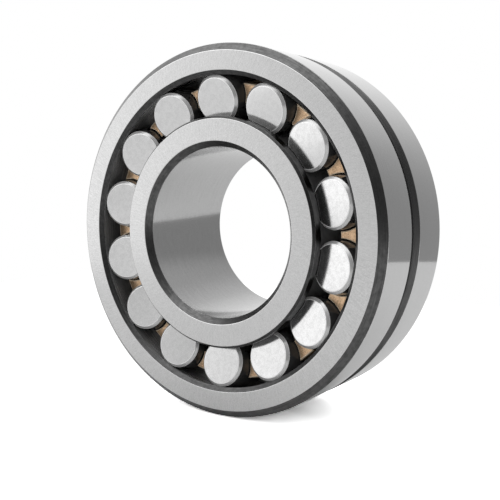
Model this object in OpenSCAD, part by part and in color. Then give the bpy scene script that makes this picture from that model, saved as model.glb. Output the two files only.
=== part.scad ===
// Spherical roller bearing, 60 x 130 x 46 mm, two rows of barrel rollers, machined cages,
// lubrication groove and holes in the outer ring.
// The bearing axis lies along Y and the front face is at -Y. The origin is the bearing centre.

/* [Boundary dimensions] */
// Outside diameter of the bearing
outer_d = 130; // [128:0.5:136]
// Bore diameter of the inner ring
bore_d = 60; // [58:0.5:62]
// Width of both rings
width = 46; // [45:0.5:48]

/* [Outer ring] */
// Radius of the spherical raceway, centred on the bearing centre
race_r = 58.4; // [58.2:0.1:59]
// Radial size of the outside corner chamfer
outer_chamfer_r = 2.7; // [2.1:0.1:3]
// Axial size of the outside corner chamfer
outer_chamfer_a = 2.3; // [2.1:0.1:3]
// Radius at which the side face ends, at the mouth of the raceway
mouth_r = 55.8; // [55.4:0.1:56.4]
// Angle of the mouth chamfer from the bearing axis
mouth_angle = 47; // [40:1:50]
// Width of the lubrication groove at the outside diameter
groove_w = 7; // [5:0.5:9]
// Width of the bottom of the lubrication groove
groove_bottom_w = 4.6; // [3:0.2:5]
// Depth of the lubrication groove
groove_depth = 1.8; // [1:0.1:2.5]
// Diameter of a lubrication hole
hole_d = 3.5; // [2:0.1:4]
// Number of lubrication holes
hole_count = 3; // [3:1:8]
// Angle of the first lubrication hole, from +X towards +Z
hole_angle = -35; // [-90:1:90]

/* [Rollers] */
// Number of rollers in one row
row_count = 14; // [12:1:14]
// Largest diameter of a roller
roller_d = 18; // [17.6:0.1:18.2]
// Length of a roller
roller_len = 16.4; // [15:0.1:16.6]
// Radius of the barrel curve along a roller
barrel_r = 57.5; // [55:0.5:58]
// Corner chamfer at a roller's ends
roller_chamfer = 0.8; // [0.4:0.1:1]
// Contact angle between a roller's mid plane and the bearing's mid plane
contact_angle = 14; // [13.5:0.1:14.5]
// Running clearance between a roller and each raceway
race_gap = 0.05; // [0.02:0.01:0.08]
// Angle by which the front row is turned from a roller at the top
front_turn = 1.2; // [0:0.1:12]

/* [Inner ring] */
// Radial size of the bore's corner chamfer
bore_chamfer_r = 2; // [1.5:0.1:2.5]
// Axial size of the bore's corner chamfer
bore_chamfer_a = 2.4; // [1.5:0.1:3]
// Radius of the retaining lip at each side
lip_r = 40.4; // [40:0.1:41]
// Corner chamfer of the retaining lip
lip_chamfer = 0.9; // [0.5:0.1:1.5]
// Radius of the land between the raceways
land_r = 41.4; // [41:0.1:41.6]
// Clearance between a roller's end and the lip or the guide ring
end_gap = 0.25; // [0.15:0.05:0.4]

/* [Guide ring] */
// Running clearance between the guide ring and the land
guide_gap = 0.08; // [0.04:0.01:0.1]
// Outside radius of the guide ring
guide_r = 46.4; // [45.5:0.1:47]

/* [Cages] */
// Running clearance between a cage and the guide ring
cage_gap = 0.1; // [0.05:0.01:0.1]
// Radius of a roller pocket
pocket_r = 9.4; // [9.3:0.05:9.5]
// Inside radius of the prongs at their tips
prong_inner_r = 45.6; // [45:0.1:46]
// Outside radius of the prongs at their tips
prong_outer_r = 52.2; // [51.8:0.1:52.6]
// Distance of the prong tips from the bearing's mid plane
prong_tip = 15.2; // [14:0.1:16]
// Gap between the two cages at the mid plane
cage_split = 0.5; // [0.3:0.1:1]
// Corner chamfer of the cage's outer edges
cage_chamfer = 0.4; // [0.2:0.1:0.6]

/* [Hidden] */
$fn = 144;

steel = "#c4c4c6";
dark_steel = "#4a4a4c";
roller_steel = "#e2e2e4";
brass = "#d2af82";

cut = 1;                                            // how far a cutter reaches past a face
half_w = width / 2;
outer_r = outer_d / 2;
bore_r = bore_d / 2;
roller_r = roller_d / 2;
half_len = roller_len / 2;
pitch = 360 / row_count;
ca = cos(contact_angle);
sa = sin(contact_angle);
centre_dist = race_r - race_gap - roller_r;         // bearing centre to a roller's centre
roller_rad = centre_dist * ca;                      // the same, measured from the bearing axis
roller_ax = centre_dist * sa;                       // and measured from the mid plane
inner_contact = centre_dist - roller_r - race_gap;  // bearing centre to the inner raceway
rear_turn = front_turn + pitch / 2;                 // the rear row is staggered by half a pitch

function roller_name(row, k) = str("roller_", row, "_", k < 10 ? "0" : "", k);
// Point of a half section, s along a front roller's axis and t away from the bearing axis
function along(s, t) = [roller_rad - s * sa + t * ca, roller_ax + s * ca + t * sa];

// Turns a model made about Z so that its axis lies along Y and its top faces -Y
module lay() rotate([90, 0, 0]) children();

// Makes a child at each pitch of a row, starting at the top
module row_places(turn) for (k = [0 : row_count - 1]) rotate(90 + turn - k * pitch) children();

// Puts a child, made about Z at its own centre, where a roller of the +Z row sits on the +X side
module roller_place() translate([roller_rad, 0, roller_ax]) rotate([0, -contact_angle, 0]) children();

// ---- outer ring -------------------------------------------------------------------------

module outer_ring_section() {
    mouth_run = 4;                                  // length of the mouth chamfer's cutting edge
    mouth_in = mouth_r - mouth_run * sin(mouth_angle);
    mouth_z = half_w - mouth_run * cos(mouth_angle);
    groove_bottom_r = outer_r - groove_depth;
    difference() {
        polygon([
            [mouth_r, half_w], [outer_r - outer_chamfer_r, half_w], [outer_r, half_w - outer_chamfer_a],
            [outer_r, -half_w + outer_chamfer_a], [outer_r - outer_chamfer_r, -half_w],
            [mouth_r, -half_w], [mouth_in, -mouth_z], [mouth_in, mouth_z]
        ]);
        circle(race_r);
        polygon([
            [groove_bottom_r, groove_bottom_w / 2], [outer_r, groove_w / 2],
            [outer_r + cut, groove_w / 2], [outer_r + cut, -groove_w / 2],
            [outer_r, -groove_w / 2], [groove_bottom_r, -groove_bottom_w / 2]
        ]);
    }
}

module outer_ring() color(steel) lay() difference() {
    rotate_extrude() outer_ring_section();
    for (k = [0 : hole_count - 1]) rotate(hole_angle + k * 360 / hole_count)
        translate([race_r - cut, 0, 0]) rotate([0, 90, 0])
            cylinder(d = hole_d, h = outer_r - race_r + 2 * cut, $fn = 48);
}

// ---- inner ring -------------------------------------------------------------------------

// Space of one row of rollers in the half section: the raceway curve below, the lip's and the
// land's flanks at its ends, which are square to the roller's axis
module inner_race_cut() {
    profile_r = race_r;                             // the raceway's curve has the outer sphere's radius
    flank_h = 2 * roller_r;
    intersection() {
        translate(along(0, inner_contact + profile_r - centre_dist)) circle(profile_r, $fn = 360);
        translate(along(-half_len - end_gap, 0)) rotate(90 + contact_angle)
            translate([0, -flank_h]) square([roller_len + 2 * end_gap, 2 * flank_h]);
    }
}

module inner_ring_section() difference() {
    polygon([
        [bore_r + bore_chamfer_r, half_w], [lip_r - lip_chamfer, half_w], [lip_r, half_w - lip_chamfer],
        [lip_r, roller_ax], [land_r, roller_ax], [land_r, -roller_ax], [lip_r, -roller_ax],
        [lip_r, -half_w + lip_chamfer], [lip_r - lip_chamfer, -half_w], [bore_r + bore_chamfer_r, -half_w],
        [bore_r, -half_w + bore_chamfer_a], [bore_r, half_w - bore_chamfer_a]
    ]);
    inner_race_cut();
    mirror([0, 1]) inner_race_cut();
}

module inner_ring() color(steel) lay() rotate_extrude() inner_ring_section();

// ---- guide ring -------------------------------------------------------------------------

// Loose ring between the rows: its flanks are parallel to the rollers' inner ends
module guide_ring_section() {
    inner = land_r + guide_gap;
    // a point on the flank's line, whose slope is the contact angle
    flank = along(-half_len - end_gap, 0);
    z_inner = flank.y + (inner - flank.x) * tan(contact_angle);
    z_outer = flank.y + (guide_r - flank.x) * tan(contact_angle);
    polygon([[inner, z_inner], [guide_r, z_outer], [guide_r, -z_outer], [inner, -z_inner]]);
}

module guide_ring() color(dark_steel) lay() rotate_extrude() guide_ring_section();

// ---- cages ------------------------------------------------------------------------------

// Half section of the turned blank of one cage: a ring beside the mid plane and a band of
// prongs that leans in with the rollers
module cage_section() {
    ring_inner = guide_r + cage_gap;
    lean = tan(contact_angle);
    ring_top = 4.6;                                 // where the prongs' inner face leaves the ring's bore
    ring_outer = prong_outer_r + (prong_tip - ring_top) * lean;
    polygon([
        [ring_inner, cage_split / 2], [ring_outer - cage_chamfer, cage_split / 2],
        [ring_outer, cage_split / 2 + cage_chamfer], [ring_outer, ring_top],
        [prong_outer_r, prong_tip], [prong_inner_r, prong_tip], [ring_inner, ring_top]
    ]);
}

module cage(turn) difference() {
    rotate_extrude() cage_section();
    row_places(turn) roller_place()
        translate([0, 0, -half_len - end_gap]) cylinder(r = pocket_r, h = 2 * roller_len);
}

module cage_front() color(brass) lay() cage(front_turn);
module cage_rear() color(brass) lay() mirror([0, 0, 1]) cage(rear_turn);

// ---- rollers ----------------------------------------------------------------------------

module roller_section() {
    end_r = roller_r - barrel_r + sqrt(barrel_r * barrel_r - half_len * half_len);
    flat_r = end_r - roller_chamfer;
    bevel = 2 * roller_chamfer + cut;               // length of the chamfer's cutting edge, along the axis
    intersection() {
        polygon([
            [0, half_len], [flat_r, half_len], [flat_r + bevel, half_len - bevel],
            [flat_r + bevel, -half_len + bevel], [flat_r, -half_len], [0, -half_len]
        ]);
        translate([roller_r - barrel_r, 0]) circle(barrel_r, $fn = 360);
    }
}

module roller(turn, k) rotate(90 + turn - k * pitch) roller_place()
    rotate_extrude($fn = 96) roller_section();
module roller_front(k) color(roller_steel) lay() roller(front_turn, k);
module roller_rear(k) color(roller_steel) lay() mirror([0, 0, 1]) roller(rear_turn, k);

outer_ring();
inner_ring();
guide_ring();
cage_front();
cage_rear();
for (k = [1 : row_count]) roller_front(k - 1);
for (k = [1 : row_count]) roller_rear(k - 1);
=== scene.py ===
import math

import bmesh
import bpy
from mathutils import Matrix, Vector


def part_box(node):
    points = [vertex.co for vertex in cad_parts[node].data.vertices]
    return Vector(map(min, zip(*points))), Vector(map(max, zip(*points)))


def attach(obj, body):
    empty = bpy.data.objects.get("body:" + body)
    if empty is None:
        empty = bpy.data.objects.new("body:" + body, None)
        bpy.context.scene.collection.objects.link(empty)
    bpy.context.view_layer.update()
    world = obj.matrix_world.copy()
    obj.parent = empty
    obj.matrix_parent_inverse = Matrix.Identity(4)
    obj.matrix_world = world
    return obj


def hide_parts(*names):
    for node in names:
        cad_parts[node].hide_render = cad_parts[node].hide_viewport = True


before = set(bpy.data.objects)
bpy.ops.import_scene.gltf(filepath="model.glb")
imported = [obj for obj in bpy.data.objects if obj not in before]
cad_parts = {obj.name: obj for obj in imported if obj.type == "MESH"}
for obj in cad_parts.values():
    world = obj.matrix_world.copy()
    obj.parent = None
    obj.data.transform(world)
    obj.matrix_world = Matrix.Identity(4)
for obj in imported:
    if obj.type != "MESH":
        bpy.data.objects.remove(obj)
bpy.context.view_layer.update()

# ---- dimensions, in millimetres unless a name says otherwise -----------------------------------

MM = 0.001
ring_low, ring_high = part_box("outer_ring")
OUTER_R = -ring_low.x / MM          # of the CAD's mesh, so just under 65
HALF_W = ring_high.y / MM
FLOOR_Z = ring_low.z                # metres

# Outer ring
RACE_R = 58.4                       # spherical raceway, centred on the bearing centre
OUTER_CHAMFER = (2.7, 2.3)          # radial and axial size
MOUTH_R = 55.8
MOUTH_ANGLE = math.radians(47)      # of the mouth chamfer, from the axis
GROOVE_W, GROOVE_BOTTOM_W, GROOVE_DEPTH = 7.0, 4.6, 1.8
HOLE_D, HOLE_COUNT, HOLE_ANGLE = 3.5, 3, math.radians(-35)

# Rollers
ROW_COUNT = 14
ROLLER_R, ROLLER_HALF = 9.0, 8.2
BARREL_R = 57.5
ROLLER_CHAMFER = 0.8
CONTACT = math.radians(14)
RACE_GAP = 0.05
FRONT_TURN = math.radians(1.2)
PITCH = 2 * math.pi / ROW_COUNT
REAR_TURN = FRONT_TURN + PITCH / 2  # the rear row is staggered by half a pitch
CENTRE_DIST = RACE_R - RACE_GAP - ROLLER_R
ROLLER_RAD = CENTRE_DIST * math.cos(CONTACT)
ROLLER_AX = CENTRE_DIST * math.sin(CONTACT)

# Inner ring
BORE_R = 30.0
BORE_CHAMFER = (2.0, 2.4)
LIP_R, LIP_CHAMFER = 40.4, 0.9
LAND_R = 41.4
END_GAP = 0.25

# Guide ring and cages
GUIDE_GAP, GUIDE_R = 0.08, 46.4
CAGE_GAP, CAGE_SPLIT, CAGE_CHAMFER = 0.1, 0.5, 0.4
POCKET_R = 9.25
PRONG_INNER_R, PRONG_OUTER_R, PRONG_TIP = 45.6, 52.2, 15.2
RING_TOP = 4.6
CAGE_FLOOR_DROP = 0.12              # the pocket floors are turned as one cone, this much lower

# Mesh density and edge rounding
RING_STEPS, ROLLER_STEPS, DRILL_STEPS = 384, 96, 48
ARC_STEPS = 5                       # of one rounded edge
SPHERE_STEPS, RACE_STEPS, BARREL_STEPS = 40, 18, 12     # of the raceways' and the barrel's long curves
SUPPORT = 0.14                      # distance of the line that holds a flat face flat beside a round edge

LAY = Matrix.Rotation(math.radians(90), 4, "X")     # a model about Z, front up, laid with its front to -Y
REAR = Matrix.Scale(-1, 4, (0, 0, 1))               # the same model mirrored for the rear row


# ---- outlines ----------------------------------------------------------------------------------

def rounded(corners, closed=True):
    """Points of an outline and the zone of the stretch after each one. A corner is (r, z, radius, zone)
    or (r, z, radius, zone, zone of its round)."""
    points, zones = [], []
    count = len(corners)
    for i, corner in enumerate(corners):
        here, radius, zone = Vector(corner[:2]), corner[2], corner[3]
        ends = not closed and i in (0, count - 1)
        if radius == 0 or ends:
            points.append(here)
            zones.append(zone)
            continue
        before, after = corners[i - 1], corners[(i + 1) % count]
        back = (Vector(before[:2]) - here).normalized()
        ahead = (Vector(after[:2]) - here).normalized()
        half = back.angle(ahead) / 2
        cut = radius / math.tan(half)
        centre = here + (back + ahead).normalized() * radius / math.sin(half)
        first, last = here + back * cut - centre, here + ahead * cut - centre
        turn = first.angle_signed(last)
        edge = corner[4] if len(corner) > 4 else zone
        points.append(here + back * (cut + SUPPORT))
        zones.append(before[3])
        for step in range(ARC_STEPS + 1):
            arm = first.copy()
            arm.rotate(Matrix.Rotation(-turn * step / ARC_STEPS, 2))
            points.append(centre + arm)
            zones.append(edge if step < ARC_STEPS else zone)
        points.append(here + ahead * (cut + SUPPORT))
        zones.append(zone)
    return points, zones


def arc(centre, radius, start, end, steps, zone):
    """Smooth corners along an arc in the half section, from one angle to another, both ends left out."""
    angles = [start + (end - start) * k / steps for k in range(1, steps)]
    return [(centre[0] + radius * math.cos(a), centre[1] + radius * math.sin(a), 0, zone) for a in angles]


def along(s, t):
    """Point of a half section, s along a front roller's axis and t away from the bearing axis."""
    sa, ca = math.sin(CONTACT), math.cos(CONTACT)
    return ROLLER_RAD - s * sa + t * ca, ROLLER_AX + s * ca + t * sa


# ---- meshes ------------------------------------------------------------------------------------

def face_outwards(mesh):
    """Turns the faces of a closed mesh over if they look inwards, in the same order."""
    shell = bmesh.new()
    shell.from_mesh(mesh)
    if shell.calc_volume(signed=True) < 0:
        bmesh.ops.reverse_faces(shell, faces=shell.faces[:])
        shell.to_mesh(mesh)
    shell.free()


def note_places(mesh, place):
    """Gives each vertex its position before it was put in place, in millimetres about the piece's own
    axis. The materials read it."""
    if "lathe" in mesh.attributes:
        mesh.attributes.remove(mesh.attributes["lathe"])
    turned = mesh.attributes.new("lathe", "FLOAT_VECTOR", "POINT")
    back = place.inverted()
    turned.data.foreach_set("vector", [c / MM for vertex in mesh.vertices for c in back @ vertex.co])


def make_object(name, local, faces, zones, place, materials):
    """A smooth mesh object in the row frame, from vertices in millimetres about the piece's own axis."""
    mesh = bpy.data.meshes.new(name)
    mesh.from_pydata([place @ (Vector(p) * MM) for p in local], [], faces)
    face_outwards(mesh)
    for material in materials:
        mesh.materials.append(material)
    mesh.polygons.foreach_set("material_index", zones)
    mesh.polygons.foreach_set("use_smooth", [True] * len(faces))
    note_places(mesh, place)
    mesh.update()
    obj = bpy.data.objects.new(name, mesh)
    bpy.context.scene.collection.objects.link(obj)
    return obj


def lathe(name, outline, steps, place, materials, closed=True, spin=0.0):
    """Turns an outline about Z and puts it in place. An open outline starts and ends on the axis. spin
    turns the finished piece about its own axis."""
    points, zones = outline
    count = len(points)
    local, faces, face_zones = [], [], []
    if closed:
        rows = range(count)
    else:
        rows = range(1, count - 1)
    for step in range(steps):
        angle = 2 * math.pi * step / steps
        local += [(points[j].x * math.cos(angle), points[j].x * math.sin(angle), points[j].y) for j in rows]
    width = len(rows)
    for step in range(steps):
        here, there = step * width, (step + 1) % steps * width
        for j in range(width if closed else width - 1):
            k = (j + 1) % width
            faces.append((here + j, here + k, there + k, there + j))
            face_zones.append(zones[rows[j]])
    if not closed:
        top, bottom = len(local), len(local) + 1
        local += [(0, 0, points[0].y), (0, 0, points[-1].y)]
        for step in range(steps):
            here, there = step * width, (step + 1) % steps * width
            faces.append((top, here, there))
            face_zones.append(zones[0])
            faces.append((bottom, there + width - 1, here + width - 1))
            face_zones.append(zones[-2])
    return make_object(name, local, faces, face_zones, place @ Matrix.Rotation(spin, 4, "Z"), materials)


def combine(obj, other, operation, place):
    """Cuts or joins another closed mesh, keeps the result as obj's mesh, and removes the other object."""
    modifier = obj.modifiers.new("combine", "BOOLEAN")
    modifier.operation = operation
    modifier.solver = "EXACT"
    modifier.object = other
    modifier.material_mode = "INDEX"
    graph = bpy.context.evaluated_depsgraph_get()
    result = bpy.data.meshes.new_from_object(obj.evaluated_get(graph), depsgraph=graph)
    obj.modifiers.clear()
    obj.data = result
    note_places(result, place)
    bpy.data.objects.remove(other)
    return obj


# ---- materials ---------------------------------------------------------------------------------

def node(tree, kind, inputs=None, **settings):
    """A shader node. inputs gives its sockets by name or number, as a value or as a socket to link."""
    made = tree.nodes.new(kind)
    for key, value in settings.items():
        setattr(made, key, value)
    for key, value in (inputs or {}).items():
        if isinstance(value, bpy.types.NodeSocket):
            tree.links.new(value, made.inputs[key])
        else:
            made.inputs[key].default_value = value
    return made


def maths(tree, operation, a, b):
    """Result of an operation on two values or sockets."""
    return node(tree, "ShaderNodeMath", {0: a, 1: b}, operation=operation).outputs[0]


def spread(tree, value, low, high):
    """Maps a value from 0 to 1 onto low to high, clamped."""
    inputs = {"Value": value, "From Min": 0.0, "From Max": 1.0, "To Min": low, "To Max": high}
    return node(tree, "ShaderNodeMapRange", inputs).outputs["Result"]


def contrast(tree, value, low, high):
    """Maps the stretch from low to high of a value smoothly onto 0 to 1."""
    inputs = {"Value": value, "From Min": low, "From Max": high, "To Min": 0.0, "To Max": 1.0}
    return node(tree, "ShaderNodeMapRange", inputs, interpolation_type="SMOOTHSTEP").outputs["Result"]


def turned_noise(tree, around, radial, axial, detail=3.0, slant=0.0, seed=0.0):
    """Noise on a turned piece. around is how many cells there are in one radian, radial and axial how
    many in one millimetre; slant, in radians per millimetre, leans radial marks over."""
    local = node(tree, "ShaderNodeAttribute", attribute_name="lathe").outputs["Vector"]
    flat = node(tree, "ShaderNodeVectorMath", {0: local, 1: (1.0, 1.0, 0.0)}, operation="MULTIPLY")
    radius = node(tree, "ShaderNodeVectorMath", {0: flat.outputs[0]}, operation="LENGTH").outputs["Value"]
    height = node(tree, "ShaderNodeSeparateXYZ", {0: local}).outputs["Z"]
    unit = node(tree, "ShaderNodeVectorMath", {0: flat.outputs[0]}, operation="NORMALIZE").outputs[0]
    if slant:
        lean = maths(tree, "MULTIPLY", radius, slant)
        unit = node(tree, "ShaderNodeVectorRotate", {"Vector": unit, "Angle": lean},
                    rotation_type="Z_AXIS").outputs[0]
    ring = node(tree, "ShaderNodeVectorMath", {0: unit, "Scale": around}, operation="SCALE").outputs[0]
    lift = node(tree, "ShaderNodeCombineXYZ", {"Z": maths(tree, "MULTIPLY", radius, radial)}).outputs[0]
    place = node(tree, "ShaderNodeVectorMath", {0: ring, 1: lift}, operation="ADD").outputs[0]
    w = maths(tree, "ADD", maths(tree, "MULTIPLY", height, axial), seed)
    inputs = {"Vector": place, "W": w, "Scale": 1.0, "Detail": detail, "Roughness": 0.6}
    return node(tree, "ShaderNodeTexNoise", inputs, noise_dimensions="4D").outputs["Fac"]


def even_noise(tree, scale, detail=3.0, seed=0.0):
    """Noise with cells of the same size every way, scale of them in one millimetre."""
    local = node(tree, "ShaderNodeAttribute", attribute_name="lathe").outputs["Vector"]
    inputs = {"Vector": local, "W": seed, "Scale": scale, "Detail": detail, "Roughness": 0.6}
    return node(tree, "ShaderNodeTexNoise", inputs, noise_dimensions="4D").outputs["Fac"]


def metal(name, colours, roughness, marks, bump, blotches=None, blotch=0.25, metallic=1.0):
    """A metal surface. marks makes the noise of its machining marks from the node tree, and blotches that
    of its broader stains. colours are the dark and the light one, roughness its lowest and highest value,
    and bump the depth of the marks in metres."""
    material = bpy.data.materials.new(name)
    material.use_nodes = True
    tree = material.node_tree
    shader = tree.nodes["Principled BSDF"]
    pattern = marks(tree)
    mottle = blotches(tree) if blotches else even_noise(tree, 0.12, 4.0, 3.0)
    both = node(tree, "ShaderNodeMix", {"Factor": blotch, "A": contrast(tree, pattern, 0.3, 0.7),
                                        "B": contrast(tree, mottle, 0.35, 0.65)}).outputs["Result"]
    colour = node(tree, "ShaderNodeMix", {"Factor": both}, data_type="RGBA")
    colour.inputs["A"].default_value = (*colours[0], 1.0)
    colour.inputs["B"].default_value = (*colours[1], 1.0)
    tree.links.new(colour.outputs["Result"], shader.inputs["Base Color"])
    rough = spread(tree, maths(tree, "SUBTRACT", 1.0, both), *roughness)
    tree.links.new(rough, shader.inputs["Roughness"])
    relief = node(tree, "ShaderNodeBump", {"Height": pattern, "Distance": bump, "Strength": 1.0})
    tree.links.new(relief.outputs["Normal"], shader.inputs["Normal"])
    shader.inputs["Metallic"].default_value = metallic
    return material


def grey(value):
    """A neutral colour."""
    return value, value, value


def ground_face():
    """Side faces: fine grinding marks that cross the face nearly radially."""
    return metal("ground_face", (grey(0.50), grey(0.67)), (0.18, 0.27),
                 lambda t: turned_noise(t, 380, 0.3, 0.0, 3.0, slant=0.004), 1.0e-6,
                 lambda t: even_noise(t, 2.6, 3.0, 16.0), 0.42)


def ground_cylinder():
    """Outside diameter: very fine circumferential grinding lines, almost a mirror."""
    return metal("ground_cylinder", (grey(0.50), grey(0.58)), (0.06, 0.11),
                 lambda t: turned_noise(t, 4, 3.0, 5.0, 4.0, seed=7.0), 0.3e-6,
                 lambda t: even_noise(t, 2.6, 3.0, 17.0), 0.5)


def ground_bore():
    """Bore: ground like the outside diameter, a little darker."""
    return metal("ground_bore", (grey(0.43), grey(0.53)), (0.10, 0.16),
                 lambda t: turned_noise(t, 4, 3.0, 5.0, 4.0, seed=15.0), 0.3e-6,
                 lambda t: even_noise(t, 2.6, 3.0, 18.0), 0.5)


def black_turned():
    """Chamfers that keep the dark skin of hardening over turning lines."""
    return metal("black_turned", (grey(0.065), grey(0.14)), (0.26, 0.38),
                 lambda t: turned_noise(t, 9, 4.0, 4.0, 4.0, seed=2.0), 4e-6,
                 lambda t: even_noise(t, 0.6, 4.0), 0.4)


def black_lip():
    """The inner ring's retaining lips and the mouths of the outer raceway, darker than the chamfers."""
    return metal("black_lip", (grey(0.035), grey(0.09)), (0.28, 0.40),
                 lambda t: turned_noise(t, 7, 4.0, 4.0, 4.0, seed=20.0), 4e-6,
                 lambda t: even_noise(t, 0.8, 4.0, 21.0), 0.4)


def groove_turned():
    """Lubrication groove: turned and dark."""
    return metal("groove_turned", (grey(0.07), grey(0.14)), (0.30, 0.42),
                 lambda t: turned_noise(t, 6, 5.0, 5.0, 3.0, seed=4.0), 4e-6)


def polished_race():
    """Inner raceways: honed, with a film of oil that darkens them."""
    return metal("polished_race", (grey(0.20), grey(0.28)), (0.14, 0.24),
                 lambda t: turned_noise(t, 5, 4.0, 4.0, 3.0, seed=5.0), 0.5e-6, metallic=0.2)


def spherical_race():
    """Outer raceway: honed and oiled like the inner ones, a little lighter."""
    return metal("spherical_race", (grey(0.26), grey(0.36)), (0.20, 0.30),
                 lambda t: turned_noise(t, 5, 4.0, 4.0, 3.0, seed=23.0), 0.5e-6, metallic=0.4)


def bright_edge():
    """Rounded edges worn bright."""
    return metal("bright_edge", (grey(0.50), grey(0.66)), (0.16, 0.26),
                 lambda t: turned_noise(t, 60, 1.0, 1.0, 3.0, seed=6.0), 1e-6)


def dull_edge():
    """Rounded edges between dark surfaces."""
    return metal("dull_edge", (grey(0.10), grey(0.22)), (0.24, 0.34),
                 lambda t: turned_noise(t, 40, 1.0, 1.0, 3.0, seed=8.0), 1e-6)


def roller_end():
    """Roller end faces: ground and polished, very faintly mottled."""
    return metal("roller_end", (grey(0.58), grey(0.71)), (0.12, 0.19),
                 lambda t: even_noise(t, 2.6, 4.0, 1.0), 0.3e-6,
                 lambda t: even_noise(t, 0.6, 4.0, 2.0), 0.4)


def roller_corner():
    """Chamfer round a roller's end face."""
    return metal("roller_corner", (grey(0.50), grey(0.60)), (0.16, 0.24),
                 lambda t: turned_noise(t, 5, 4.0, 4.0, 3.0, seed=9.0), 0.6e-6, metallic=0.5)


def roller_rim_painted_highlight():
    """The two thin edges of the chamfer round a roller's end face, with a painted highlight: a pale, partly
    non-metallic colour stands in for their bright lines.
    """
    return metal("roller_rim_painted_highlight", (grey(0.72), grey(0.86)), (0.26, 0.34),
                 lambda t: turned_noise(t, 20, 2.0, 2.0, 3.0, seed=22.0), 0.5e-6, metallic=0.4)


def roller_barrel_painted_shade():
    """Barrel face of a roller: polished, and its nearly black colour is painted shade, standing in for the
    dark inside of the bearing that it mirrors.
    """
    return metal("roller_barrel_painted_shade", (grey(0.07), grey(0.10)), (0.08, 0.14),
                 lambda t: turned_noise(t, 5, 4.0, 4.0, 3.0, seed=10.0), 0.4e-6, metallic=0.6)


def brass(name, marks, light=1.0, roughness=(0.26, 0.38)):
    """Machined brass with even stains. light makes it all lighter or darker, so one brass comes in darker
    copies as painted shade.
    """
    dark, bright = (0.36, 0.245, 0.148), (0.89, 0.62, 0.40)
    # light below 1 darkens the colours: painted shade
    scaled = [tuple(c * light for c in colour) for colour in (dark, bright)]
    return metal(name, scaled, roughness, marks, 4e-6, lambda t: even_noise(t, 2.2, 3.0, 5.0), 0.5)


def brass_milled():
    """Prong tips: turned across, with fine tool lines."""
    return brass("brass_milled", lambda t: turned_noise(t, 9, 4.5, 0.0, 4.0, seed=11.0))


def brass_painted_highlight():
    """Eased edges of the prongs with a painted highlight: a pale, mostly non-metallic colour stands in for
    the bright lines along them.
    """
    return metal("brass_painted_highlight", ((0.76, 0.60, 0.42), (0.96, 0.82, 0.64)), (0.26, 0.36),
                 lambda t: even_noise(t, 2.0, 3.0, 19.0), 1e-6, metallic=0.2)


def brass_bored():
    """Pocket walls: bored, so the lines run across the prong. A darker copy of the brass, painted shade for
    walls that lie in the pockets.
    """
    return brass("brass_bored", lambda t: turned_noise(t, 3, 0.3, 4.0, 3.0, seed=12.0), 0.8, (0.22, 0.32))


def brass_turned():
    """Turned faces of a cage: its ring and the inner and outer faces of its prongs. A darker copy of the
    brass, painted shade for faces deeper in the bearing.
    """
    return brass("brass_turned", lambda t: turned_noise(t, 4, 3.0, 3.0, 3.0, seed=13.0), 0.85)


def guide_turned():
    """Guide ring: turned and dark."""
    return metal("guide_turned", (grey(0.10), grey(0.16)), (0.28, 0.40),
                 lambda t: turned_noise(t, 5, 4.0, 4.0, 3.0, seed=14.0), 2e-6)


# ---- outer ring --------------------------------------------------------------------------------

FACE, ROUND, DARK, GROOVE, RACE, EDGE, DULL, BORE, LIP, SPHERE = range(10)
RING_MATERIALS = [ground_face(), ground_cylinder(), black_turned(), groove_turned(), polished_race(),
                  bright_edge(), dull_edge(), ground_bore(), black_lip(), spherical_race()]


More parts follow.
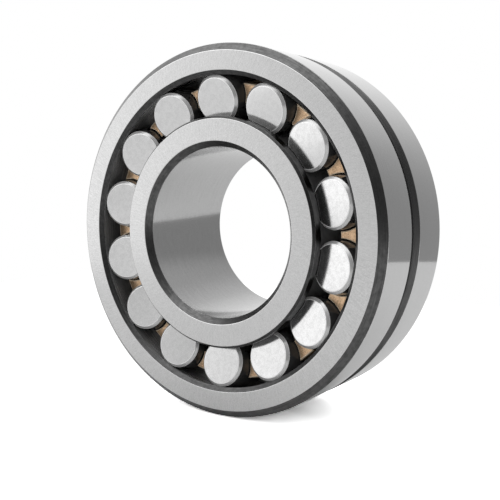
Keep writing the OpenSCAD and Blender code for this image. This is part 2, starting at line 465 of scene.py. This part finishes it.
def outer_ring():
    """The ring with its spherical raceway, the groove round its middle and the lubrication holes."""
    od = OUTER_R
    groove_r = od - GROOVE_DEPTH
    race_ease, mouth_ease, corner_ease, groove_ease = 0.12, 0.2, 0.3, 0.18      # radii of its edges
    reach = Vector((MOUTH_R, HALF_W)).length
    slope = MOUTH_R * math.sin(MOUTH_ANGLE) + HALF_W * math.cos(MOUTH_ANGLE)
    run = slope - math.sqrt(slope * slope - reach * reach + RACE_R * RACE_R)    # of the mouth chamfer
    race_end = (MOUTH_R - run * math.sin(MOUTH_ANGLE), HALF_W - run * math.cos(MOUTH_ANGLE))
    half_angle = math.atan2(race_end[1], race_end[0])
    front = [
        (*race_end, race_ease, LIP, DULL),
        (MOUTH_R, HALF_W, mouth_ease, FACE, EDGE),
        (od - OUTER_CHAMFER[0], HALF_W, corner_ease, DARK, EDGE),
        (od, HALF_W - OUTER_CHAMFER[1], corner_ease, ROUND, EDGE),
        (od, GROOVE_W / 2, groove_ease, GROOVE, EDGE),
        (groove_r, GROOVE_BOTTOM_W / 2, corner_ease, GROOVE),
    ]
    rear = [
        (groove_r, -GROOVE_BOTTOM_W / 2, corner_ease, GROOVE),
        (od, -GROOVE_W / 2, groove_ease, ROUND, EDGE),
        (od, -HALF_W + OUTER_CHAMFER[1], corner_ease, DARK, EDGE),
        (od - OUTER_CHAMFER[0], -HALF_W, corner_ease, FACE, EDGE),
        (MOUTH_R, -HALF_W, mouth_ease, LIP, EDGE),
        (race_end[0], -race_end[1], race_ease, SPHERE, DULL),
    ]
    race = arc((0, 0), RACE_R, -half_angle, half_angle, SPHERE_STEPS, SPHERE)
    ring = lathe("outer_ring_ground", rounded(front + rear + race), RING_STEPS, LAY, RING_MATERIALS)
    hole_r, flare, reach_out = HOLE_D / 2, 0.25, 1.0
    drill = [
        (0, od + reach_out, 0, GROOVE), (hole_r + flare + reach_out, od + reach_out, 0, GROOVE),
        (hole_r + flare + reach_out, groove_r + reach_out, 0, GROOVE), (hole_r, groove_r - flare, 0, GROOVE),
        (hole_r, RACE_R - 2 * reach_out, 0, GROOVE), (0, RACE_R - 2 * reach_out, 0, GROOVE),
    ]
    for k in range(HOLE_COUNT):
        turn = HOLE_ANGLE + k * 2 * math.pi / HOLE_COUNT
        place = LAY @ Matrix.Rotation(turn, 4, "Z") @ Matrix.Rotation(math.radians(90), 4, "Y")
        cutter = lathe("drill", rounded(drill, closed=False), DRILL_STEPS, place, RING_MATERIALS,
                       closed=False)
        combine(ring, cutter, "DIFFERENCE", LAY)
    return ring


# ---- inner ring --------------------------------------------------------------------------------

def inner_ring():
    """The ring with its bore, two concave raceways, retaining lips and the land between the raceways."""
    corner_ease, lip_ease, land_ease = 0.25, 0.22, 0.15         # radii of its edges
    lip_flank = along(ROLLER_HALF + END_GAP, 0)
    flank_z = lip_flank[1] + (LIP_R - lip_flank[0]) * math.tan(CONTACT)
    race_centre = along(0, CENTRE_DIST)
    depth = CENTRE_DIST - math.sqrt(RACE_R ** 2 - (ROLLER_HALF + END_GAP) ** 2)
    foot = along(ROLLER_HALF + END_GAP, depth)
    land_z = race_centre[1] - math.sqrt(RACE_R ** 2 - (race_centre[0] - LAND_R) ** 2)
    start = math.atan2(foot[1] - race_centre[1], foot[0] - race_centre[0])
    end = math.atan2(land_z - race_centre[1], LAND_R - race_centre[0]) + 2 * math.pi
    start = start if start > 0 else start + 2 * math.pi
    race = arc(race_centre, RACE_R, start, end, RACE_STEPS, RACE)       # from the lip to the land
    rear_race = [(r, -z, 0, RACE) for r, z, _, _ in race]
    corners = [
        (BORE_R, HALF_W - BORE_CHAMFER[1], corner_ease, BORE, EDGE),
        (BORE_R, -HALF_W + BORE_CHAMFER[1], corner_ease, DARK, EDGE),
        (BORE_R + BORE_CHAMFER[0], -HALF_W, corner_ease, FACE, EDGE),
        (LIP_R - LIP_CHAMFER, -HALF_W, lip_ease, LIP, EDGE),
        (LIP_R, -HALF_W + LIP_CHAMFER, corner_ease, LIP, DULL),
        (LIP_R, -flank_z, corner_ease, RACE, DULL),
        (foot[0], -foot[1], 0, RACE), *rear_race, (LAND_R, -land_z, land_ease, RACE, DULL),
        (LAND_R, land_z, land_ease, RACE, DULL), *reversed(race), (foot[0], foot[1], 0, RACE),
        (LIP_R, flank_z, corner_ease, LIP, DULL),
        (LIP_R, HALF_W - LIP_CHAMFER, corner_ease, LIP, DULL),
        (LIP_R - LIP_CHAMFER, HALF_W, lip_ease, FACE, EDGE),
        (BORE_R + BORE_CHAMFER[0], HALF_W, corner_ease, DARK, EDGE),
    ]
    return lathe("inner_ring_ground", rounded(corners), RING_STEPS, LAY, RING_MATERIALS)


# ---- guide ring --------------------------------------------------------------------------------

def guide_ring():
    """Loose ring between the rows. Its flanks are parallel to the rollers' inner ends."""
    ease, zone = 0.2, 0
    inner = LAND_R + GUIDE_GAP
    flank = along(-ROLLER_HALF - END_GAP, 0)
    z_inner = flank[1] + (inner - flank[0]) * math.tan(CONTACT)
    z_outer = flank[1] + (GUIDE_R - flank[0]) * math.tan(CONTACT)
    corners = [(inner, -z_inner, ease, zone), (GUIDE_R, -z_outer, ease, zone),
               (GUIDE_R, z_outer, ease, zone), (inner, z_inner, ease, zone)]
    return lathe("guide_ring_turned", rounded(corners), RING_STEPS, LAY, [guide_turned()])


# ---- cages -------------------------------------------------------------------------------------

TIP, WALL, TURNED, PAINTED_RIM = range(4)
BRASS = [brass_milled(), brass_bored(), brass_turned(), brass_painted_highlight()]
LEAN = math.tan(CONTACT)
RING_INNER = GUIDE_R + CAGE_GAP
RING_OUTER = PRONG_OUTER_R + (PRONG_TIP - RING_TOP) * LEAN
SIDE_STEPS = 9                      # across a pocket wall
PRONG_FOOT, PRONG_ROOT = 1.6, 3.1   # heights of a prong's lowest section and of the next one, in the ring
PRONG_STEPS, TIP_STEPS = 6, 4       # of a prong's height and of the round at its tip
TIP_ROUND = 0.4
SINK = 0.03                         # a prong's foot stays this far inside the ring that it is joined to
HALVINGS = 40                       # of a range, to find a point in it by bisection


def pocket_edge(z, radius, pocket_r):
    """Where the pocket beside a prong crosses a circle about the cage's axis, in the plane at height z:
    (x along the prong's radius, y across it)."""
    centre = ROLLER_RAD - (z - ROLLER_AX) * LEAN
    low, high = 0.0, math.pi
    for _ in range(HALVINGS):
        mid = (low + high) / 2
        u, v = centre + pocket_r / math.cos(CONTACT) * math.cos(mid), -pocket_r * math.sin(mid)
        if math.hypot(u, v) > radius:
            low = mid
        else:
            high = mid
    half = PITCH / 2
    return u * math.cos(half) - v * math.sin(half), u * math.sin(half) + v * math.cos(half)


def prong_outline(z, shrink):
    """Cross-section of a prong at height z, drawn in by shrink all round, its corners rounded."""
    foot_ease, top_ease = 0.2, 0.15
    share = max(z - RING_TOP, 0) / (PRONG_TIP - RING_TOP)
    inner = RING_INNER + SINK + (PRONG_INNER_R - RING_INNER - SINK) * share + shrink
    outer = RING_OUTER - SINK + (PRONG_OUTER_R - RING_OUTER + SINK) * share - shrink
    side = [pocket_edge(z, inner + (outer - inner) * k / SIDE_STEPS, POCKET_R + shrink)
            for k in range(SIDE_STEPS + 1)]
    out = [(x, -y, 0, WALL) for x, y in side[1:-1]]
    back = [(x, -y, 0, WALL) for x, y, _, _ in reversed(out)]
    foot, top = side[0], side[-1]
    crown = math.atan2(top[1], top[0])
    cap = [(outer * math.cos(crown * k / 3), outer * math.sin(crown * k / 3), 0, TURNED)
           for k in (-1, 0, 1)]
    corners = [
        (foot[0], foot[1], foot_ease, TURNED, WALL), (foot[0], -foot[1], foot_ease, WALL), *out,
        (top[0], -top[1], top_ease, TURNED, WALL), *cap, (top[0], top[1], top_ease, WALL), *back,
    ]
    return rounded(corners)


def prongs(turn, place):
    """All the prongs of one cage as closed solids in one mesh, with their feet sunk in the cage's ring."""
    shoulder = PRONG_TIP - TIP_ROUND
    rise = shoulder - SUPPORT - RING_TOP
    levels = [(PRONG_FOOT, 0.0), (PRONG_ROOT, 0.0)]         # (height, how far the section is drawn in)
    levels += [(RING_TOP + rise * k / PRONG_STEPS, 0.0) for k in range(PRONG_STEPS + 1)]
    for k in range(TIP_STEPS + 1):
        a = math.radians(90) * k / TIP_STEPS
        levels.append((shoulder + TIP_ROUND * math.sin(a), TIP_ROUND * (1 - math.cos(a))))
    levels.append((PRONG_TIP, TIP_ROUND + SUPPORT / 2))
    rings = []
    for z, shrink in levels:
        points, zones = prong_outline(z, shrink)
        rings.append([(p.x, p.y, z) for p in points])
    width = len(rings[0])
    # the round at each prong's tip gets the painted highlight
    level_zones = {len(rings) - 2: TIP, **{len(rings) - 3 - k: PAINTED_RIM for k in range(TIP_STEPS)}}
    local, faces, face_zones = [], [], []
    for k in range(ROW_COUNT):
        angle = math.pi / 2 + turn - (k + 0.5) * PITCH
        c, s = math.cos(angle), math.sin(angle)
        base = len(local)
        local += [(x * c - y * s, x * s + y * c, z) for ring in rings for x, y, z in ring]
        for level in range(len(rings) - 1):
            for j in range(width):
                a, b = base + level * width + j, base + level * width + (j + 1) % width
                faces.append((a, b, b + width, a + width))
                face_zones.append(level_zones.get(level, zones[j]))
        last = base + (len(rings) - 1) * width
        faces.append(tuple(range(last, last + width)))
        face_zones.append(TIP)
        faces.append(tuple(range(base + width - 1, base - 1, -1)))
        face_zones.append(WALL)
    return make_object("prongs", local, faces, face_zones, place, BRASS)


def cage(name, turn, place):
    """One cage: a turned ring beside the mid plane with the prongs of its row on it."""
    inner_ease, chamfer_ease, outer_ease = 0.2, 0.1, 0.25
    pocket_floor = along(-ROLLER_HALF - END_GAP, 0)
    top = pocket_floor[1] + (RING_INNER - pocket_floor[0]) * LEAN - CAGE_FLOOR_DROP
    back = CAGE_SPLIT / 2
    corners = [
        (RING_INNER, back, inner_ease, TURNED),
        (RING_OUTER - CAGE_CHAMFER, back, chamfer_ease, TURNED),
        (RING_OUTER, back + CAGE_CHAMFER, chamfer_ease, TURNED),
        (RING_OUTER, RING_TOP, outer_ease, WALL),
        (RING_INNER, top, inner_ease, TURNED),
    ]
    ring = lathe(name, rounded(corners), RING_STEPS, place, BRASS)
    return combine(ring, prongs(turn, place), "UNION", place)


# ---- rollers -----------------------------------------------------------------------------------

END, BEVEL, BARREL, PAINTED_ROLLER_RIM = range(4)
ROLLER_MATERIALS = [roller_end(), roller_corner(), roller_barrel_painted_shade(), roller_rim_painted_highlight()]


def roller_outline():
    """Half section of a roller from one end of its axis to the other: flat ends, eased corners, barrel."""
    end_r = ROLLER_R - BARREL_R + math.sqrt(BARREL_R ** 2 - ROLLER_HALF ** 2)
    flat_r = end_r - ROLLER_CHAMFER
    face_ease, barrel_ease = 0.35, 0.4
    low, high = 0.0, 2 * ROLLER_CHAMFER
    for _ in range(HALVINGS):                       # where the 45-degree chamfer meets the barrel
        run = (low + high) / 2
        barrel = ROLLER_R - BARREL_R + math.sqrt(BARREL_R ** 2 - (ROLLER_HALF - run) ** 2)
        if flat_r + run < barrel:
            low = run
        else:
            high = run
    shoulder_z = ROLLER_HALF - run
    half_angle = math.asin(shoulder_z / BARREL_R)
    centre = (ROLLER_R - BARREL_R, 0)
    corners = [
        (0, ROLLER_HALF, 0, END),
        (flat_r / 2, ROLLER_HALF, 0, END),
        # the rounds at both edges of the chamfer get the painted highlight
        (flat_r, ROLLER_HALF, face_ease, BEVEL, PAINTED_ROLLER_RIM),
        (flat_r + run, shoulder_z, barrel_ease, BARREL, PAINTED_ROLLER_RIM),
        *arc(centre, BARREL_R, half_angle, -half_angle, BARREL_STEPS, BARREL),
        (flat_r + run, -shoulder_z, barrel_ease, BEVEL, PAINTED_ROLLER_RIM),
        (flat_r, -ROLLER_HALF, face_ease, END, PAINTED_ROLLER_RIM),
        (flat_r / 2, -ROLLER_HALF, 0, END),
        (0, -ROLLER_HALF, 0, END),
    ]
    return rounded(corners, closed=False)


def roller(name, row, k, turn, outline):
    """One roller in its place. Each is turned a different way about its axis."""
    spot = Matrix.Translation(Vector((ROLLER_RAD, 0, ROLLER_AX)) * MM) @ Matrix.Rotation(-CONTACT, 4, "Y")
    flip = REAR if row == "rear" else Matrix.Identity(4)
    around = Matrix.Rotation(math.pi / 2 + turn - k * PITCH, 4, "Z")
    golden = math.pi * (3 - math.sqrt(5))
    return lathe(name, outline, ROLLER_STEPS, LAY @ flip @ around @ spot, ROLLER_MATERIALS,
                 closed=False, spin=golden * k)


# ---- floor, light and camera -------------------------------------------------------------------

def floor():
    """A pale table under the object. Its far edge is behind the object, and polished surfaces mirror the
    darker room past it. For the camera its colour is painted brighter than white, most of all near the
    object: a painted pool of light that hides all but the darkest part of the shadow."""
    left, right, near, far = -0.35, 0.60, -0.60, 0.265      # metres, as are the two distances below
    close, distant = 0.030, 0.095                           # the painted brightening falls off between them
    # painted light: colour gains the camera sees far from and near the object; true_white is the colour
    # every other ray sees
    far_painted_gain, close_painted_gain, true_white = 1.15, 3.0, 0.82
    corners = [(left, near, FLOOR_Z), (right, near, FLOOR_Z), (right, far, FLOOR_Z), (left, far, FLOOR_Z)]
    mesh = bpy.data.meshes.new("floor")
    mesh.from_pydata(corners, [], [(0, 1, 2, 3)])
    material = bpy.data.materials.new("pale_floor_painted_light")
    material.use_nodes = True
    tree = material.node_tree
    shader = tree.nodes["Principled BSDF"]
    shader.inputs["Roughness"].default_value = 0.7
    shader.inputs["Specular IOR Level"].default_value = 0.0
    seen = node(tree, "ShaderNodeLightPath").outputs["Is Camera Ray"]
    place = node(tree, "ShaderNodeTexCoord").outputs["Object"]
    away = node(tree, "ShaderNodeVectorMath", {0: place, 1: (0.0, 0.0, FLOOR_Z)},
                operation="DISTANCE").outputs["Value"]
    # painted pool of light: the nearer the object, the brighter the colour the camera sees
    painted_light_pool = spread(tree, contrast(tree, away, distant, close), far_painted_gain, close_painted_gain)
    base = node(tree, "ShaderNodeMix", {"Factor": seen, "A": true_white, "B": painted_light_pool}).outputs["Result"]
    tree.links.new(base, shader.inputs["Base Color"])
    mesh.materials.append(material)
    made = bpy.data.objects.new("floor", mesh)
    bpy.context.scene.collection.objects.link(made)


def studio_world():
    """White all round for the camera and for diffuse light. Metal mirrors a grey room with soft panels
    instead, each given as (direction, brightness added to the room's, half angles in degrees at which it
    is full and gone)."""
    panels = [
        ((-0.98, -0.19, -0.07), 1.14, 7, 68),       # big soft panel on the left
        ((0.30, 0.47, 0.83), 0.21, 17, 39),         # overhead
        ((-0.38, 0.92, 0.11), 0.68, 6, 47),         # behind on the left
        ((0.12, -0.99, 0.04), 0.68, 12, 34),        # in front
        ((0.68, -0.73, -0.05), -0.28, 12, 50),      # dark card to the right of the camera
        ((-0.35, -0.36, 0.86), 1.9, 5, 50),         # lamp above
    ]
    room = 0.37                                     # brightness where there is no panel
    world = bpy.data.worlds.new("studio")
    bpy.context.scene.world = world
    world.use_nodes = True
    tree = world.node_tree
    background = tree.nodes["Background"]
    direction = node(tree, "ShaderNodeTexCoord").outputs["Generated"]
    seen = room
    for way, bright, full, gone in panels:
        dot = node(tree, "ShaderNodeVectorMath", {0: direction, 1: Vector(way).normalized()},
                   operation="DOT_PRODUCT").outputs["Value"]
        lobe = contrast(tree, dot, math.cos(math.radians(gone)), math.cos(math.radians(full)))
        seen = maths(tree, "ADD", maths(tree, "MULTIPLY", lobe, bright), seen)
    path = node(tree, "ShaderNodeLightPath")
    strength = node(tree, "ShaderNodeMix", {"Factor": path.outputs["Is Glossy Ray"], "A": 1.0, "B": seen})
    tree.links.new(strength.outputs["Result"], background.inputs["Strength"])
    background.inputs["Color"].default_value = (1.0, 1.0, 1.0, 1.0)
    world.cycles.sampling_method = "NONE"


def key_light():
    """Large soft light from the upper left, which lays the shadow to the right."""
    data = bpy.data.lights.new("key", "AREA")
    data.shape = "RECTANGLE"
    data.size, data.size_y = 0.5, 0.4
    data.energy = 0.8
    light = bpy.data.objects.new("key", data)
    light.location = (-0.55, -0.35, 0.75)
    light.rotation_mode = "QUATERNION"
    light.rotation_quaternion = light.location.to_track_quat("Z", "Y")
    light.visible_camera = False
    light.visible_glossy = False
    bpy.context.scene.collection.objects.link(light)


def camera():
    """The main view: from the right front, slightly above."""
    place = (0.16269, -0.23479, 0.01955)
    azimuth, elevation = math.radians(34.79), math.radians(5.42)
    back = Vector((math.cos(elevation) * math.sin(azimuth), -math.cos(elevation) * math.cos(azimuth),
                   math.sin(elevation)))
    right = Vector((math.cos(azimuth), math.sin(azimuth), 0))
    up = back.cross(right)
    data = bpy.data.cameras.new("camera")
    data.sensor_width = 36.0
    data.lens = 55.5
    data.clip_start = 0.01
    made = bpy.data.objects.new("camera", data)
    turned = Matrix((right, up, back)).transposed().to_4x4()
    made.matrix_world = Matrix.Translation(place) @ turned
    bpy.context.scene.collection.objects.link(made)
    bpy.context.scene.camera = made


# ---- the bearing -------------------------------------------------------------------------------

def put(piece, body):
    """The piece rides on a body of one node with the same name, and stands for that node."""
    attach(piece, body)
    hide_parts(body)


camera()
put(outer_ring(), "outer_ring")
put(inner_ring(), "inner_ring")
put(guide_ring(), "guide_ring")
put(cage("cage_front_brass", FRONT_TURN, LAY), "cage_front")
put(cage("cage_rear_brass", REAR_TURN, LAY @ REAR), "cage_rear")
outline = roller_outline()
for row, turn in (("front", FRONT_TURN), ("rear", REAR_TURN)):
    for k in range(ROW_COUNT):
        body = f"roller_{row}_{k + 1:02d}"
        put(roller(body + "_ground", row, k, turn, outline), body)

floor()
studio_world()
key_light()
bpy.context.scene.view_settings.view_transform = "Standard"
